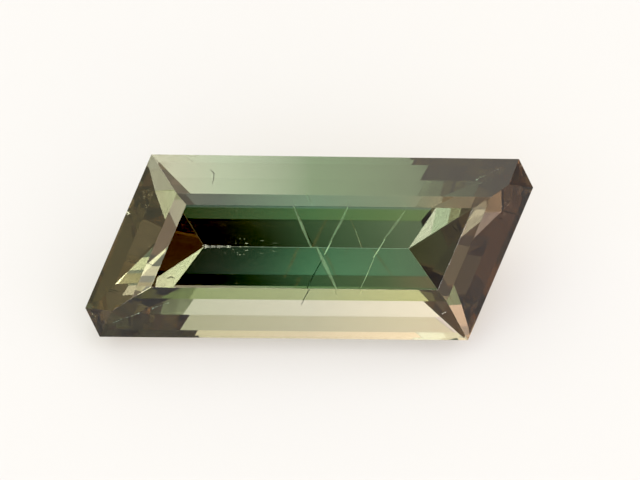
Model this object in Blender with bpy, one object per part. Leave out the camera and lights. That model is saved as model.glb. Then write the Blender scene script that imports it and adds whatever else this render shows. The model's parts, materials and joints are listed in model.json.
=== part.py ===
"""Sunstone: one transparent feldspar, cut as a long parallelogram with two clipped corners.

The stone is cut the way a faceter cuts it. A block is sawn to the girdle outline, then rows of facets are
ground round it: two rows and the table above the girdle, four rows below it, down to a keel. Every row
starts where the row before it ends, so the rows meet along level lines.

The finished stone can't stand on its keel. It lies on one long pavilion facet, with its table leaning back.
Metres, +Z up. The origin is at the bottom centre of the stone's box, on the surface that it rests on.
"""

import math

import bmesh
import bpy
from mathutils import Matrix, Vector

NAME = "sunstone"
MM = 0.001

# Girdle outline, seen from above the table. Distances are from the centre of the outline.
HALF_WIDTH = 3.479 * MM  # to each long side
HALF_LENGTH = 7.538 * MM  # to each slanting end, along the middle line
END_TURN = -22.60  # degrees from +X to the way that the right end faces
CLIP_TURN = 27.09  # degrees from +X to the way that the clipped corner faces
CLIP_REACH = 8.685 * MM  # to each clipped corner
GIRDLE = 0.118 * MM  # thickness of the upright rim

# Rows of facets, each with the depth of the row and its steepness, in degrees from the table's plane, on
# the long sides, on the ends and on the clipped corners. They run outwards from the girdle.
CROWN_ROWS = (
    (1.124 * MM, 37.00, 37.71, 41.02),
    (0.247 * MM, 29.87, 26.34, 29.68),
)
PAVILION_ROWS = (
    (0.669 * MM, 66.66, 72.98, 67.05),
    (0.651 * MM, 58.32, 61.59, 66.69),
    (1.126 * MM, 48.80, 50.37, 50.92),
    (2.200 * MM, 43.86, 43.80, 37.20),
)
RESTING_ROW = 3  # place in PAVILION_ROWS of the long facet that the stone lies on

BLOCK = 24.0 * MM  # side of the rough block
SNAP = 0.0005 * MM  # corners this near a cutting plane count as on it

BODY_COLOUR = (0.62, 0.66, 0.46, 1.0)
REFRACTION = 1.565
POLISH = 0.02


def clear_scene():
    for thing in list(bpy.data.objects):
        bpy.data.objects.remove(thing, do_unlink=True)


def outline():
    """The six ways that the outline faces: turn from +X, reach from the centre, and kind of side."""
    end_reach = HALF_LENGTH * math.cos(math.radians(END_TURN))
    one_half = (
        (90.0, HALF_WIDTH, "side"),
        (END_TURN, end_reach, "end"),
        (CLIP_TURN, CLIP_REACH, "corner"),
    )
    return one_half + tuple((turn + 180.0, reach, kind) for turn, reach, kind in one_half)


def grind(stone, point, normal):
    """Takes away all that lies beyond a plane, and closes the stone with the new flat facet."""
    everything = list(stone.verts) + list(stone.edges) + list(stone.faces)
    bmesh.ops.bisect_plane(
        stone, geom=everything, dist=SNAP, plane_co=point, plane_no=normal, clear_outer=True
    )
    rim = [edge for edge in stone.edges if edge.is_boundary]
    if rim:
        bmesh.ops.edgeloop_fill(stone, edges=rim)


def grind_row(stone, reaches, height, angles, way):
    """Grinds one facet in each direction. Its upper edge, or its lower one, is level at the height given."""
    for (turn, _, kind), reach in zip(outline(), reaches):
        around = Vector((math.cos(math.radians(turn)), math.sin(math.radians(turn)), 0.0))
        slope = math.radians(angles[kind])
        normal = around * math.sin(slope) + Vector((0.0, 0.0, way * math.cos(slope)))
        grind(stone, around * reach + Vector((0.0, 0.0, height)), normal)


def grind_rows(stone, rows, way):
    """Grinds the rows on one face of the girdle, way 1 above it and -1 below. Returns the last height."""
    reaches = [reach for _, reach, _ in outline()]
    height = way * GIRDLE / 2
    for depth, side, end, corner in rows:
        angles = {"side": side, "end": end, "corner": corner}
        grind_row(stone, reaches, height, angles, way)
        kinds = [kind for _, _, kind in outline()]
        reaches = [
            reach - depth / math.tan(math.radians(angles[kind])) for reach, kind in zip(reaches, kinds)
        ]
        height += way * depth
    return height


def cut_stone():
    stone = bmesh.new()
    bmesh.ops.create_cube(stone, size=BLOCK)
    level = {"side": 90.0, "end": 90.0, "corner": 90.0}
    grind_row(stone, [reach for _, reach, _ in outline()], 0.0, level, 1)
    table_height = grind_rows(stone, CROWN_ROWS, 1)
    grind(stone, Vector((0.0, 0.0, table_height)), Vector((0.0, 0.0, 1.0)))
    grind_rows(stone, PAVILION_ROWS, -1)
    bmesh.ops.recalc_face_normals(stone, faces=stone.faces)
    mesh = bpy.data.meshes.new(NAME)
    stone.to_mesh(mesh)
    stone.free()
    return mesh


def clear_feldspar():
    material = bpy.data.materials.new("clear_feldspar")
    material.use_nodes = True
    shader = material.node_tree.nodes["Principled BSDF"]
    shader.inputs["Base Color"].default_value = BODY_COLOUR
    shader.inputs["Roughness"].default_value = POLISH
    shader.inputs["Metallic"].default_value = 0.0
    shader.inputs["IOR"].default_value = REFRACTION
    shader.inputs["Transmission Weight"].default_value = 1.0
    material.diffuse_color = BODY_COLOUR
    return material


def lay_down(piece):
    """Turns the stone on to its resting facet, and brings its box's bottom centre to the origin."""
    lean = math.radians(PAVILION_ROWS[RESTING_ROW][1])
    piece.rotation_euler = (lean, 0.0, 0.0)
    turned = [Matrix.Rotation(lean, 3, "X") @ vertex.co for vertex in piece.data.vertices]
    middle = [(min(p[axis] for p in turned) + max(p[axis] for p in turned)) / 2 for axis in (0, 1)]
    bottom = min(p.z for p in turned)
    piece.location = (-middle[0], -middle[1], -bottom)


def main():
    clear_scene()
    collection = bpy.data.collections.new(NAME)
    bpy.context.scene.collection.children.link(collection)
    piece = bpy.data.objects.new(NAME, cut_stone())
    collection.objects.link(piece)
    piece.data.materials.append(clear_feldspar())
    lay_down(piece)


main()
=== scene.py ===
"""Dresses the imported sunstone: a polished, clear, two-coloured feldspar on a pale floor in soft light.

The stone lies on one long pavilion facet. Everything is in metres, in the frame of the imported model.
"""

import json
import math
import random

import bpy
from mathutils import Matrix, Vector

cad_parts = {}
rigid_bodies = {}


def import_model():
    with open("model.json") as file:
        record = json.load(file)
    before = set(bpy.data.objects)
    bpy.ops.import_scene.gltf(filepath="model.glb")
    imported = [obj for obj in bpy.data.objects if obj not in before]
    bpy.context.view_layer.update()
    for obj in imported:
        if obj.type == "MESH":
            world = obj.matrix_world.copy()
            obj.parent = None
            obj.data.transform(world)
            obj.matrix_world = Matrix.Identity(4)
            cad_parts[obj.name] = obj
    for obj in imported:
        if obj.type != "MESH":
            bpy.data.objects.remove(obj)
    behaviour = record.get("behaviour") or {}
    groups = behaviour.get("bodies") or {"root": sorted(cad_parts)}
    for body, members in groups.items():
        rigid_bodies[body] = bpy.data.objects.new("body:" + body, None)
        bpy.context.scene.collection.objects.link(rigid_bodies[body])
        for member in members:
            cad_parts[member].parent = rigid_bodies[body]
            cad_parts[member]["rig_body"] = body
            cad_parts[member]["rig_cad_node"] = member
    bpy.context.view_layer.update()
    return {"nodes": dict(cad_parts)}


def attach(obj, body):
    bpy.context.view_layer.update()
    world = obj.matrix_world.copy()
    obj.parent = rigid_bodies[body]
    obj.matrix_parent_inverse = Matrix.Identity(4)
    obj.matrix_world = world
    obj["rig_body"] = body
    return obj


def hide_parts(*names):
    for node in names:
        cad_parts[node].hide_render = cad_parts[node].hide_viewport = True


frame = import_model()

bl_info = {
    "name": "Sunstone",
    "version": (1, 0, 0),
    "blender": (4, 5, 0),
    "location": "View3D > Sidebar > Sunstone",
    "description": "Models a faceted sunstone, its colours and inclusions, and the stage it lies on",
    "category": "Object",
}

MM = 0.001
NODE = "sunstone"
BODY = "root"

TABLE_LEAN = math.radians(43.86)  # between the table and the floor
GIRDLE_CENTRE = Vector((0.0, -0.243 * MM, 3.055 * MM))
TABLE_WAY = Vector((0.0, -math.sin(TABLE_LEAN), math.cos(TABLE_LEAN)))
ACROSS_WAY = Vector((0.0, math.cos(TABLE_LEAN), math.sin(TABLE_LEAN)))

# What each group of facets does to white light that passes through it: partly the stone's own colours,
# and partly painted shade and light, darker or lighter along the stone where less or more light reaches
# the facet. The first five have colours from the left end of the stone to its right end, the others from
# its middle to their own end. These ends lie at TINT_REACH from the middle.
FACET_TINTS_AND_SHADE = {
    "table": (
        (0.08, 0.06, 0.08), (0.32, 0.42, 0.45), (0.38, 1.0, 0.78),
        (0.3, 0.65, 0.52), (0.12, 0.16, 0.15),
    ),
    "top_outer": (
        (0.85, 1.0, 0.85), (0.45, 0.8, 0.6), (0.08, 0.23, 0.1),
        (0.05, 0.12, 0.055), (0.004, 0.005, 0.004),
    ),
    "top_inner": (
        (0.03, 0.02, 0.02), (0.015, 0.04, 0.04), (0.05, 0.2, 0.13),
        (0.09, 0.19, 0.11), (0.3, 0.15, 0.1),
    ),
    "low_outer": ((0.13, 0.24, 0.19), (0.3, 0.4, 0.5), (0.7, 0.8, 0.95)),
    "low_inner": ((0.035, 0.11, 0.01), (0.15, 0.26, 0.14), (0.37, 0.46, 0.17)),
    "right_outer": ((0.85, 0.7, 0.6), (0.2, 0.11, 0.1)),
    "right_inner": ((1.0, 1.0, 0.95), (0.17, 0.15, 0.15)),
    "left_outer": ((0.01, 0.02, 0.02), (0.31, 0.39, 0.33)),
    "left_inner": ((0.6, 0.7, 0.7), (0.55, 0.6, 0.7)),
    "pavilion_right": ((0.75, 0.78, 0.52), (0.22, 0.22, 0.12)),
    "pavilion_left": ((0.4, 0.28, 0.18), (0.45, 0.25, 0.08)),
}
TINT_REACH = 7 * MM
GIRDLE_TINT = (0.1, 0.06, 0.04)
# What tells the groups apart is where a facet faces: how much of that is the way the table faces, and
# how much is along the stone.
TABLE_FACING = 0.97
INNER_FACING = 0.83
CROWN_FACING = 0.4
GIRDLE_FACING = 0.2
END_FACING = 0.2
# Needles and veils inside the stone: look, width in mm, and places. A place is x, across and height in
# mm, from the middle of the girdle.
NEEDLES = (
    ("veil", 0.12, ((-0.70, 1.60, 0.3), (-0.34, 0.78, 0.3), (0.0, -0.02, 0.3))),
    ("veil", 0.12, ((-0.26, 2.05, 1.05), (-0.14, 1.82, 1.18), (-0.02, 1.6, 1.3))),
    ("veil", 0.15, ((0.20, 0.05, 0.3), (0.55, -0.68, 0.3), (1.00, -1.60, 0.3))),
    ("veil", 0.10, ((1.40, 1.62, 0.3), (1.15, 1.05, 0.3), (0.68, 0.15, 0.3))),
    ("veil", 0.10, ((3.58, 1.47, 0.35), (3.20, 0.92, 0.35), (2.74, 0.31, 0.35))),
    ("veil", 0.04, ((1.66, 0.75, 0.2), (1.80, 0.35, 0.2), (1.92, 0.0, 0.2))),
    ("bright", 0.05, ((0.78, 0.26, 0.32), (0.60, -0.08, 0.32), (0.50, -0.28, 0.32))),
    ("bright", 0.05, ((2.80, 0.34, 0.37), (2.55, -0.08, 0.37), (2.36, -0.36, 0.37))),
    ("bright", 0.025, ((2.42, -0.30, 0.37), (2.16, -0.95, 0.37), (1.90, -1.52, 0.37))),
    ("dark", 0.05, ((0.44, -0.42, 0.3), (0.10, -1.05, 0.3), (-0.36, -2.0, 0.28))),
    ("dark", 0.05, ((-3.86, 2.90, 0.42), (-3.71, 2.76, 0.52), (-3.74, 2.50, 0.70), (-3.79, 2.34, 0.80))),
)
# How wide a needle is where it starts, as a share of its width, and how it widens and narrows from there.
NEEDLE_START = 0.4
NEEDLE_SWELL = 2.5
NEEDLE_TAPER = 0.4
# Of each look: its colour, how much of what is behind it is hidden where it is densest, and how much it
# glows, in place of the light that it would scatter. Its dense and thin patches are PATCHES to a metre.
LOOKS = {
    "veil": ((1.0, 0.8, 0.6), 0.27, 0.2),
    "bright": ((1.0, 0.85, 0.65), 0.8, 0.3),
    "dark": ((0.02, 0.03, 0.02), 1.0, 0.0),
    "grain": ((1.0, 1.0, 0.9), 0.95, 0.8),
    "spark": ((1.0, 1.0, 0.95), 1.0, 2.5),
}
PATCHES = 3000.0
# Lines along which small grains and chips lie, glowing with painted light, the sparks as painted glints:
# look, first end, last end, scatter and width in mm, and number.
GRAIN_LINES = (
    ("spark", (-3.95, 0.0, -4.18), (-3.90, 0.0, -4.18), 0.01, 0.035, 4),
    ("spark", (-3.90, 0.0, -4.20), (-2.90, 0.0, -4.20), 0.005, 0.018, 40),
    ("grain", (-3.18, 0.0, -3.99), (-3.10, 0.0, -3.99), 0.01, 0.035, 2),
    ("grain", (-2.62, 0.0, -3.93), (-2.38, 0.0, -3.93), 0.01, 0.035, 5),
    ("grain", (-2.37, 0.0, -4.10), (-2.25, 0.0, -4.10), 0.01, 0.035, 4),
    ("grain", (-1.79, 0.0, -3.99), (-1.69, 0.0, -3.99), 0.01, 0.035, 3),
    ("grain", (-1.33, 0.0, -4.08), (-1.17, 0.0, -4.08), 0.01, 0.035, 4),
    ("grain", (-2.95, 0.0, -3.0), (-2.30, 0.1, -3.2), 0.35, 0.03, 4),
    ("grain", (6.35, 1.58, -2.55), (7.33, 2.17, -1.80), 0.02, 0.04, 6),
    ("grain", (-7.50, -2.90, 0.34), (-5.35, -2.10, 0.98), 0.02, 0.035, 22),
    ("spark", (6.25, 2.61, 0.60), (7.20, 3.08, 0.25), 0.012, 0.03, 20),
    ("grain", (5.00, -2.45, 0.76), (5.20, -2.36, 0.82), 0.01, 0.06, 4),
)
# How bright the light round the lens is on each side, at these distances in mm from the lens's middle,
# and its colour.
RING_STOPS = (16, 22, 28, 36, 60, 120)
RING = {
    "up": ((0.06, 0.32, 0.95, 1.6, 0.4, 1.0), (0.75, 1.1, 1.1)),
    "down": ((0.03, 0.02, 0.14, 2.0, 2.6, 10.0), (1.1, 0.9, 0.95)),
    "right": ((0.05, 0.25, 0.85, 1.25, 3.5, 11.0), (1.1, 1.0, 0.95)),
    "left": ((0.05, 0.1, 2.5, 0.9, 3.7, 0.8), (1.0, 1.05, 0.9)),
}
RING_TOP = 14.0
RING_REACH = 120 * MM
# How bright the room is on each side, at these elevations in degrees, and its colour. Behind the stone
# the colour changes with the elevation.
SKY_STOPS = (0, 8, 20, 35, 50, 65, 90)
SKY = {
    "behind": (
        (1.2, 1.8, 1.2, 1.3, 1.6, 2.4, 0.3),
        ((1.0, 1.0, 0.9), (1.3, 1.05, 0.7), (1.0, 1.0, 0.95), (1.2, 1.1, 0.7), (1.1, 0.95, 0.95),
         (1.1, 1.05, 0.85), (1.0, 1.0, 0.9)),
    ),
    "right": ((0.5, 1.1, 0.7, 2.4, 1.0, 1.7, 1.2), (1.2, 1.0, 0.9)),
    "left": ((0.5, 1.4, 0.8, 1.4, 2.4, 2.1, 1.2), (1.15, 1.1, 0.8)),
    "front_right": ((1.2, 2.4, 3.2, 2.1, 2.0, 1.5, 1.2), (1.4, 1.15, 0.9)),
    "front_left": ((1.1, 3.8, 2.6, 7.0, 1.7, 1.5, 1.2), (1.0, 1.05, 1.1)),
}
SKY_TOP = 16.0

# The light that the stone gathers on the floor: a soft-edged rectangle under it.
GATHERED_MIDDLE = (-0.4 * MM, 1.4 * MM)
GATHERED_HALF = (4.6 * MM, 1.3 * MM)
GATHERED_EDGE = (0.2 * MM, 1.2 * MM)
FLOOR_COLOUR = (0.26, 0.30, 0.37)
FLOOR_SIZE = 120 * MM
FLOOR_GAP = 0.02 * MM  # under the facet that the stone lies on
# Where the camera looks, to the right of and above the middle of the girdle in its own view.
AIM_RIGHT = 0.37977 * MM
AIM_UP = 0.28779 * MM


# Shader maths


class Wire:
    """One output of a node, with arithmetic that adds Math nodes."""

    def __init__(self, graph, socket):
        self.graph = graph
        self.socket = socket

    def math(self, operation, *others, first=None):
        values = [self if first is None else first, *others]
        return self.graph.add("ShaderNodeMath", {"operation": operation}, dict(enumerate(values)))

    def __add__(self, other):
        return self.math("ADD", other)

    def __radd__(self, other):
        return self.math("ADD", self, first=other)

    def __sub__(self, other):
        return self.math("SUBTRACT", other)

    def __rsub__(self, other):
        return self.math("SUBTRACT", self, first=other)

    def __mul__(self, other):
        return self.math("MULTIPLY", other)

    def __rmul__(self, other):
        return self.math("MULTIPLY", self, first=other)

    def __truediv__(self, other):
        return self.math("DIVIDE", other)

    def __gt__(self, other):
        return self.math("GREATER_THAN", other)

    def __lt__(self, other):
        return self.math("LESS_THAN", other)

    def __abs__(self):
        return self.math("ABSOLUTE")

    def positive(self):
        return self.math("MAXIMUM", 0.0)

    def sign(self):
        return self.math("SIGN")


class Graph:
    """The node tree of a material or of the world."""

    def __init__(self, owner):
        owner.use_nodes = True
        self.tree = owner.node_tree
        self.tree.nodes.clear()

    def add(self, kind, settings=None, inputs=None, output=0):
        """Adds a node, fills its sockets with values or links, and returns one of its outputs."""
        node = self.tree.nodes.new(kind)
        for name, value in (settings or {}).items():
            if name == "stops":
                self.set_stops(node.color_ramp, value)
            else:
                setattr(node, name, value)
        for name, value in (inputs or {}).items():
            if isinstance(value, Wire):
                self.tree.links.new(value.socket, node.inputs[name])
            else:
                node.inputs[name].default_value = value
        return Wire(self, node.outputs[output]) if node.outputs else node

    @staticmethod
    def set_stops(ramp, stops):
        """Gives a colour ramp its stops, each a place from 0 to 1 and a colour."""
        while len(ramp.elements) < len(stops):
            ramp.elements.new(0.5)
        for element, (place, colour) in zip(ramp.elements, stops):
            element.position = place
            element.color = colour

    def mix(self, factor, low, high):
        """A colour between two colours."""
        settings = {"data_type": "RGBA", "blend_type": "MIX"}
        return self.add("ShaderNodeMix", settings, {0: factor, 6: low, 7: high}, output=2)

    def ramp(self, place, colours):
        """A colour that changes softly along evenly spaced stops."""
        stops = [(index / (len(colours) - 1), rgb(colour)) for index, colour in enumerate(colours)]
        return self.add("ShaderNodeValToRGB", {"stops": stops}, {0: place})

    def sides(self, kind, ways, place, table, stops, top):
        """Light from several sides, each with its own levels and colour at the same stops."""
        total = None
        for name, way in ways.items():
            levels, colours = table[name]
            if not isinstance(colours[0], tuple):
                colours = [colours] * len(levels)
            ramp = [
                (stop / stops[-1], rgb([level * part / top for part in colour]))
                for stop, level, colour in zip(stops, levels, colours)
            ]
            colour = self.add("ShaderNodeValToRGB", {"stops": ramp}, {0: place})
            light = self.add(kind, None, {"Color": colour, "Strength": way * way * top})
            if total is None:
                total = light
            else:
                total = self.add("ShaderNodeAddShader", None, {0: total, 1: light})
        return total

    def dot(self, first, second):
        settings = {"operation": "DOT_PRODUCT"}
        return self.add("ShaderNodeVectorMath", settings, {0: first, 1: second}, output="Value")

    def length(self, vector):
        return self.add("ShaderNodeVectorMath", {"operation": "LENGTH"}, {0: vector}, output="Value")

    def axis(self, vector, name):
        return self.add("ShaderNodeSeparateXYZ", None, {0: vector}, output=name)


def rgb(colour):
    """An opaque colour, as sockets take it."""
    return (*colour, 1.0)


# Sizes and colours


class StoneSettings(bpy.types.PropertyGroup):
    """What the polished stone looks like."""

    edge_wear: bpy.props.FloatProperty(
        name="Edge wear",
        description="Width of the worn edge between two facets",
        default=0.005 * MM,
        subtype="DISTANCE",
        unit="LENGTH",
    )
    refraction: bpy.props.FloatProperty(
        name="Refractive index", description="Of labradorite feldspar", default=1.565
    )
    absorption: bpy.props.FloatProperty(
        name="Absorption", description="Strength of the body colour, per metre", default=200.0
    )
    body_colour: bpy.props.FloatVectorProperty(
        name="Body colour", description="Colour of light that crosses the stone",
        default=(0.52, 0.4145, 0.22), subtype="COLOR",
    )


class StageSettings(bpy.types.PropertyGroup):
    """The floor, the light and the camera."""

    camera_distance: bpy.props.FloatProperty(
        name="Camera distance", description="From the stone's centre", default=133.6 * MM, unit="LENGTH"
    )
    camera_azimuth: bpy.props.FloatProperty(
        name="Camera azimuth", description="Turn from looking along +Y", default=math.radians(-5.21),
        subtype="ANGLE",
    )
    camera_elevation: bpy.props.FloatProperty(
        name="Camera elevation", description="Above the floor", default=math.radians(45.90),
        subtype="ANGLE",
    )
    camera_roll: bpy.props.FloatProperty(
        name="Camera roll", description="About the line of sight", default=math.radians(4.38),
        subtype="ANGLE",
    )
    lens: bpy.props.FloatProperty(name="Lens", description="Focal length in mm", default=196.9)
    floor_glow: bpy.props.FloatVectorProperty(
        name="Floor glow", description="Light from below", default=(0.405, 0.35, 0.285), subtype="COLOR"
    )
    gathered_glow: bpy.props.FloatVectorProperty(
        name="Gathered glow", description="Light that the stone gathers on the floor under itself",
        default=(1.0, 0.98, 0.94), subtype="COLOR",
    )
    black_level: bpy.props.FloatProperty(
        name="Black level", description="Light below which the picture is black", default=0.015
    )


# Materials


def facet_groups(graph, place):
    """Which group a facet is in: those along the whole stone, those at its ends, and the girdle."""
    normal = graph.add("ShaderNodeTexCoord", output="Normal")
    # Light on its way out meets a facet from inside, where its normal points in. The side of the girdle
    # that a point is on tells which way is out.
    height = (graph.dot(place, TABLE_WAY) - GIRDLE_CENTRE.dot(TABLE_WAY)).sign()
    outward = graph.dot(normal, TABLE_WAY).sign() * height
    along = graph.axis(normal, "X") * outward
    facing = graph.dot(normal, TABLE_WAY) * outward
    across = graph.dot(normal, ACROSS_WAY) * outward
    crown = (facing > CROWN_FACING) * (facing < TABLE_FACING)
    inner = crown * (facing > INNER_FACING)
    outer = crown * (facing < INNER_FACING)
    below = facing < 0.0
    side = abs(along) < END_FACING
    right = along > END_FACING
    left = along < -END_FACING
    whole = {
        "table": facing > TABLE_FACING,
        "top_outer": side * outer * (across > 0.0),
        "top_inner": side * inner * (across > 0.0),
        "low_outer": side * outer * (across < 0.0),
        "low_inner": side * inner * (across < 0.0),
    }
    ends = {
        "right_outer": outer * right,
        "right_inner": inner * right,
        "left_outer": outer * left,
        "left_inner": inner * left,
        "pavilion_right": below * right,
        "pavilion_left": below * left,
    }
    return whole, ends, abs(facing) < GIRDLE_FACING


def facet_tint_and_shade(graph):
    """The colours of each group of facets, which change along the stone: its own colours and painted
    shade and light.
    """
    place = graph.add("ShaderNodeTexCoord", output="Object")
    whole, ends, girdle = facet_groups(graph, place)
    x = graph.axis(place, "X")
    from_left = x * (0.5 / TINT_REACH) + 0.5
    from_middle = abs(x) / TINT_REACH
    tint_and_shade = rgb((1.0, 1.0, 1.0))
    for groups, reach in ((whole, from_left), (ends, from_middle)):
        for name, mask in groups.items():
            tint_and_shade = graph.mix(mask, tint_and_shade, graph.ramp(reach, FACET_TINTS_AND_SHADE[name]))
    return graph.mix(girdle, tint_and_shade, rgb(GIRDLE_TINT))


def clear_feldspar(settings):
    """Clear, coloured glass. Each group of facets tints the light that passes through it, with painted
    shade and light as well as the stone's own colours.
    """
    material = bpy.data.materials.new("polished_feldspar")
    graph = Graph(material)
    shader = graph.add(
        "ShaderNodeBsdfPrincipled",
        None,
        {
            "Base Color": facet_tint_and_shade(graph),
            "Roughness": 0.0,
            "IOR": settings.refraction,
            "Transmission Weight": 1.0,
        },
    )
    inside = graph.add(
        "ShaderNodeVolumeAbsorption",
        None,
        {"Color": rgb(settings.body_colour), "Density": settings.absorption},
    )
    graph.add("ShaderNodeOutputMaterial", None, {"Surface": shader, "Volume": inside})
    return material


def inclusion(name):
    """A solid inside the stone that hides only part of what is behind it, denser in some places.

    It glows with painted light, as much as its look gives.
    """
    colour, cover, painted_glow = LOOKS[name]
    material = bpy.data.materials.new(name)
    graph = Graph(material)
    place = graph.add("ShaderNodeTexCoord", output="Object")
    patches = graph.add("ShaderNodeTexNoise", None, {"Vector": place, "Scale": PATCHES, "Detail": 2.0})
    hidden = {0: patches, 1: 0.3, 2: 0.7, 3: 0.6 * cover, 4: cover}
    shader = graph.add(
        "ShaderNodeBsdfPrincipled",
        None,
        {
            "Base Color": graph.mix(patches, rgb([0.7 * part for part in colour]), rgb(colour)),
            "Roughness": 0.4,
            "Alpha": graph.add("ShaderNodeMapRange", None, hidden),
            "Emission Color": rgb(colour),
            "Emission Strength": painted_glow,
        },
    )
    graph.add("ShaderNodeOutputMaterial", None, {"Surface": shader})
    return material


def pale_floor(settings):
    """A pale floor, lit from below, with the light that the stone gathers under itself."""
    material = bpy.data.materials.new("pale_floor")
    graph = Graph(material)
    place = graph.add("ShaderNodeTexCoord", output="Object")
    past_end, past_side = (
        (abs(graph.axis(place, name) - middle) - half).positive()
        for name, middle, half in zip("XY", GATHERED_MIDDLE, GATHERED_HALF)
    )
    away = (past_end * past_end + past_side * past_side).math("SQRT")
    near, far = GATHERED_EDGE
    gathered = graph.add("ShaderNodeMapRange", None, {0: away, 1: near, 2: far, 3: 1.0, 4: 0.0})
    glow = graph.mix(gathered, rgb(settings.floor_glow), rgb(settings.gathered_glow))
    shader = graph.add(
        "ShaderNodeBsdfPrincipled",
        None,
        {
            "Base Color": rgb(FLOOR_COLOUR),
            "Roughness": 0.9,
            "Emission Color": glow,
            "Emission Strength": 1.0,
        },
    )
    graph.add("ShaderNodeOutputMaterial", None, {"Surface": shader})
    return material


def light_ring():
    """A soft light round the camera, with the dark lens in its middle."""
    material = bpy.data.materials.new("light_ring")
    graph = Graph(material)
    place = graph.add("ShaderNodeTexCoord", output="Object")
    right = graph.axis(place, "X")
    up = graph.axis(place, "Y")
    reach = graph.length(place)
    ways = {
        "up": (up / reach).positive(),
        "down": ((0.0 - up) / reach).positive(),
        "right": (right / reach).positive(),
        "left": ((0.0 - right) / reach).positive(),
    }
    glow = graph.sides("ShaderNodeEmission", ways, reach / RING_REACH, RING, RING_STOPS, RING_TOP)
    graph.add("ShaderNodeOutputMaterial", None, {"Surface": glow})
    return material


# Pieces


def only(piece):
    """Makes a piece the one that is selected and active."""
    bpy.ops.object.select_all(action="DESELECT")
    piece.select_set(True)
    bpy.context.view_layer.objects.active = piece


class SUNSTONE_OT_stone(bpy.types.Operator):
    """Makes the polished stone from the solid of the frame, with worn edges and its own colours"""

    bl_idname = "sunstone.stone"
    bl_label = "Polished stone"

    def execute(self, context):
        settings = context.scene.sunstone_stone
        stone = self.copy_solid(context)
        self.wear_edges(stone, settings.edge_wear)
        stone.data.materials.clear()
        stone.data.materials.append(clear_feldspar(settings))
        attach(stone, BODY)
        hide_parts(NODE)
        return {"FINISHED"}

    def copy_solid(self, context):
        """A copy of the solid with whole facets in place of triangles, no longer a node of the frame."""
        only(frame["nodes"][NODE])
        bpy.ops.object.duplicate()
        stone = context.active_object
        stone.name = "polished_stone"
        stone.data.name = "polished_stone"
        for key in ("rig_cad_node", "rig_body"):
            if key in stone:
                del stone[key]
        only(stone)
        bpy.ops.object.mode_set(mode="EDIT")
        bpy.ops.mesh.select_all(action="SELECT")
        bpy.ops.mesh.remove_doubles(threshold=0.0005 * MM)
        bpy.ops.mesh.dissolve_limited(angle_limit=math.radians(0.5))
        bpy.ops.object.mode_set(mode="OBJECT")
        return stone

    def wear_edges(self, stone, width):
        """Takes the sharpness off every edge between two facets."""
        bevel = stone.modifiers.new("worn_edges", "BEVEL")
        bevel.width = width
        bevel.segments = 1
        bevel.limit_method = "ANGLE"
        bevel.angle_limit = math.radians(3)
        bpy.ops.object.modifier_apply(modifier=bevel.name)
        bpy.ops.object.shade_flat()


def within(x, across, height):
    """A place inside the stone, from mm along it, across it and above its girdle."""
    return GIRDLE_CENTRE + (Vector((x, 0, 0)) + ACROSS_WAY * across + TABLE_WAY * height) * MM


def join(pieces, name):
    """Joins pieces into one, with its place in its mesh."""
    bpy.ops.object.select_all(action="DESELECT")
    for piece in pieces:
        piece.select_set(True)
    bpy.context.view_layer.objects.active = pieces[0]
    bpy.ops.object.join()
    bpy.ops.object.transform_apply(location=True, rotation=True, scale=True)
    joined = bpy.context.active_object
    joined.name = name
    joined.data.name = name
    bpy.ops.object.mode_set(mode="EDIT")
    bpy.ops.mesh.select_all(action="SELECT")
    bpy.ops.mesh.normals_make_consistent(inside=False)
    bpy.ops.object.mode_set(mode="OBJECT")
    return joined


def finish_inclusion(piece, material):
    """Gives a joined piece its material, and puts it on the stone's body."""
    bpy.ops.object.shade_flat()
    piece.data.materials.clear()
    piece.data.materials.append(material)
    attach(piece, BODY)


class SUNSTONE_OT_needles(bpy.types.Operator):
    """Draws the pale needles inside the stone, which glow with painted light, and the hooked scratch near
    its upper edge
    """

    bl_idname = "sunstone.needles"
    bl_label = "Needles"

    def execute(self, context):
        for name in ("veil", "bright", "dark"):
            needles = [self.needle(route, width * MM) for look, width, route in NEEDLES if look == name]
            finish_inclusion(join(needles, name + "_needles"), inclusion(name))
        return {"FINISHED"}

    def needle(self, route, width):
        """A thin six-sided needle, drawn out from place to place, and thinner at both ends."""
        places = [within(*place) for place in route]
        first = places[1] - places[0]
        bpy.ops.object.select_all(action="DESELECT")
        bpy.ops.mesh.primitive_circle_add(
            vertices=6, radius=0.5 * NEEDLE_START * width, fill_type="NGON", location=places[0],
            rotation=first.to_track_quat("Z", "Y").to_euler(),
        )
        piece = bpy.context.active_object
        bpy.ops.object.transform_apply(location=True, rotation=True, scale=True)
        bpy.ops.object.mode_set(mode="EDIT")
        sizes = [NEEDLE_SWELL] + [1.0] * (len(places) - 3) + [NEEDLE_TAPER]
        for start, end, size in zip(places, places[1:], sizes):
            bpy.ops.mesh.extrude_region_move(TRANSFORM_OT_translate={"value": end - start})
            bpy.ops.transform.resize(value=(size, size, size), center_override=end)
        bpy.ops.object.mode_set(mode="OBJECT")
        return piece


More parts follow.
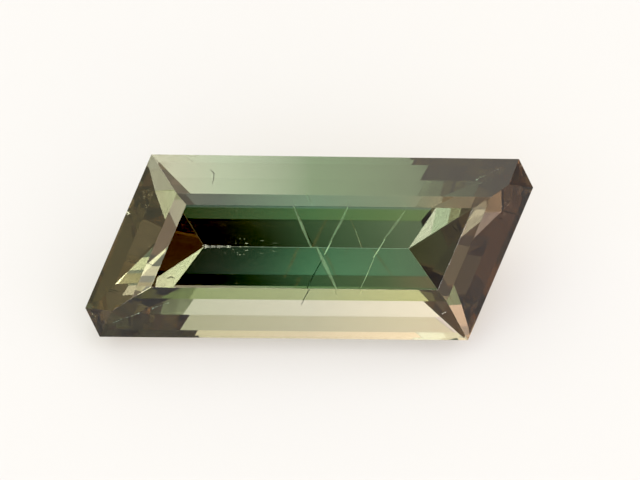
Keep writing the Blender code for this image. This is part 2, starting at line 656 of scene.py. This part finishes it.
class SUNSTONE_OT_grains(bpy.types.Operator):
    """Scatters small pale grains along the keel and under three worn edges; grains and sparks glow with
    painted light
    """

    bl_idname = "sunstone.grains"
    bl_label = "Grains and chips"

    def execute(self, context):
        chance = random.Random(7)
        for name in ("grain", "spark"):
            grains = []
            for look, first, last, scatter, width, count in GRAIN_LINES:
                if look == name:
                    grains += self.line(Vector(first), Vector(last), scatter, width * MM, count, chance)
            finish_inclusion(join(grains, name + "s"), inclusion(name))
        return {"FINISHED"}

    def line(self, first, last, scatter, width, count, chance):
        """Grains strewn along a line."""
        grains = []
        for _ in range(count):
            x, across, height = first.lerp(last, chance.random())
            across += chance.uniform(-scatter, scatter)
            height += chance.uniform(-scatter, scatter)
            size = width * chance.uniform(0.5, 1.0)
            grains.append(self.grain(within(x, across, height), size, chance))
        return grains

    def grain(self, place, size, chance):
        """One squashed grain with flat faces."""
        bpy.ops.object.select_all(action="DESELECT")
        bpy.ops.mesh.primitive_ico_sphere_add(subdivisions=1, radius=0.5 * size, location=place)
        piece = bpy.context.active_object
        bpy.ops.object.mode_set(mode="EDIT")
        bpy.ops.mesh.select_all(action="SELECT")
        stretch = (chance.uniform(0.8, 2.2), chance.uniform(0.5, 0.9), chance.uniform(0.5, 0.9))
        bpy.ops.transform.resize(value=stretch, center_override=place)
        bpy.ops.object.mode_set(mode="OBJECT")
        return piece


class SUNSTONE_OT_stage(bpy.types.Operator):
    """Lays the floor, and sets the light and the camera"""

    bl_idname = "sunstone.stage"
    bl_label = "Stage"

    def execute(self, context):
        settings = context.scene.sunstone_stage
        self.floor(settings)
        self.sky(context)
        self.ring(context, settings)
        self.camera(context, settings)
        self.picture(context, settings)
        return {"FINISHED"}

    def floor(self, settings):
        bpy.ops.mesh.primitive_plane_add(size=FLOOR_SIZE, location=(0, 0, -FLOOR_GAP))
        floor = bpy.context.active_object
        floor.name = "floor"
        floor.data.materials.append(pale_floor(settings))

    def sky(self, context):
        """A soft room, with a brightness and a colour of its own on each side."""
        world = bpy.data.worlds.new("soft_room")
        context.scene.world = world
        graph = Graph(world)
        sky = graph.add("ShaderNodeTexCoord", output="Generated")
        height = graph.axis(sky, "Z").math("ARCSINE") / math.radians(90)
        right = graph.axis(sky, "X")
        behind = graph.axis(sky, "Y")
        level = (right * right + behind * behind).math("SQRT")
        front = ((0.0 - behind) / level).positive()
        ways = {
            "behind": (behind / level).positive(),
            "right": (right / level).positive(),
            "left": ((0.0 - right) / level).positive(),
            "front_right": front * (right > 0.0),
            "front_left": front * (right < 0.0),
        }
        room = graph.sides("ShaderNodeBackground", ways, height, SKY, SKY_STOPS, SKY_TOP)
        graph.add("ShaderNodeOutputWorld", None, {"Surface": room})

    def ring(self, context, settings):
        """A soft light round the lens, which only the stone shows."""
        way = self.camera_way(settings)
        bpy.ops.mesh.primitive_circle_add(
            vertices=96, radius=RING_REACH, fill_type="NGON",
            location=GIRDLE_CENTRE + way * (settings.camera_distance + 1 * MM),
            rotation=way.to_track_quat("Z", "Y").to_euler(),
        )
        card = context.active_object
        card.name = "light_ring"
        card.data.materials.append(light_ring())
        card.visible_camera = False
        card.visible_diffuse = False
        card.visible_shadow = False

    def camera_way(self, settings):
        """The way from the stone to the camera."""
        level = math.cos(settings.camera_elevation)
        return Vector((
            math.sin(settings.camera_azimuth) * level,
            -math.cos(settings.camera_azimuth) * level,
            math.sin(settings.camera_elevation),
        ))

    def camera(self, context, settings):
        data = bpy.data.cameras.new("camera")
        camera = bpy.data.objects.new("camera", data)
        context.scene.collection.objects.link(camera)
        way = self.camera_way(settings)
        turn = way.to_track_quat("Z", "Y").to_matrix() @ Matrix.Rotation(settings.camera_roll, 3, "Z")
        right = turn @ Vector((1, 0, 0))
        up = turn @ Vector((0, 1, 0))
        aim = GIRDLE_CENTRE + right * AIM_RIGHT + up * AIM_UP
        camera.matrix_world = Matrix.Translation(aim + way * settings.camera_distance) @ turn.to_4x4()
        data.lens = settings.lens
        data.sensor_width = 36.0
        data.clip_start = 1 * MM
        context.scene.camera = camera

    def picture(self, context, settings):
        """How deep the blacks are, and how often light may turn inside the stone."""
        view = context.scene.view_settings
        view.view_transform = "Standard"
        view.use_curve_mapping = True
        view.curve_mapping.black_level = [settings.black_level] * 3
        view.curve_mapping.update()
        cycles = context.scene.cycles
        cycles.max_bounces = 24
        cycles.glossy_bounces = 20
        cycles.transmission_bounces = 24
        cycles.transparent_max_bounces = 24


class SUNSTONE_PT_panel(bpy.types.Panel):
    """Lists the pieces of the sunstone"""

    bl_idname = "SUNSTONE_PT_panel"
    bl_label = "Sunstone"
    bl_space_type = "VIEW_3D"
    bl_region_type = "UI"
    bl_category = "Sunstone"

    def draw(self, context):
        layout = self.layout
        for operator in OPERATORS:
            layout.operator(operator.bl_idname)
        for group in (context.scene.sunstone_stone, context.scene.sunstone_stage):
            for name in group.__annotations__:
                layout.prop(group, name)


OPERATORS = (SUNSTONE_OT_stone, SUNSTONE_OT_needles, SUNSTONE_OT_grains, SUNSTONE_OT_stage)
CLASSES = (StoneSettings, StageSettings, *OPERATORS, SUNSTONE_PT_panel)


def register():
    for each in CLASSES:
        bpy.utils.register_class(each)
    bpy.types.Scene.sunstone_stone = bpy.props.PointerProperty(type=StoneSettings)
    bpy.types.Scene.sunstone_stage = bpy.props.PointerProperty(type=StageSettings)


def unregister():
    del bpy.types.Scene.sunstone_stage
    del bpy.types.Scene.sunstone_stone
    for each in reversed(CLASSES):
        bpy.utils.unregister_class(each)


def main():
    register()
    bpy.ops.sunstone.stone()
    bpy.ops.sunstone.needles()
    bpy.ops.sunstone.grains()
    bpy.ops.sunstone.stage()


if __name__ == "__main__":
    main()
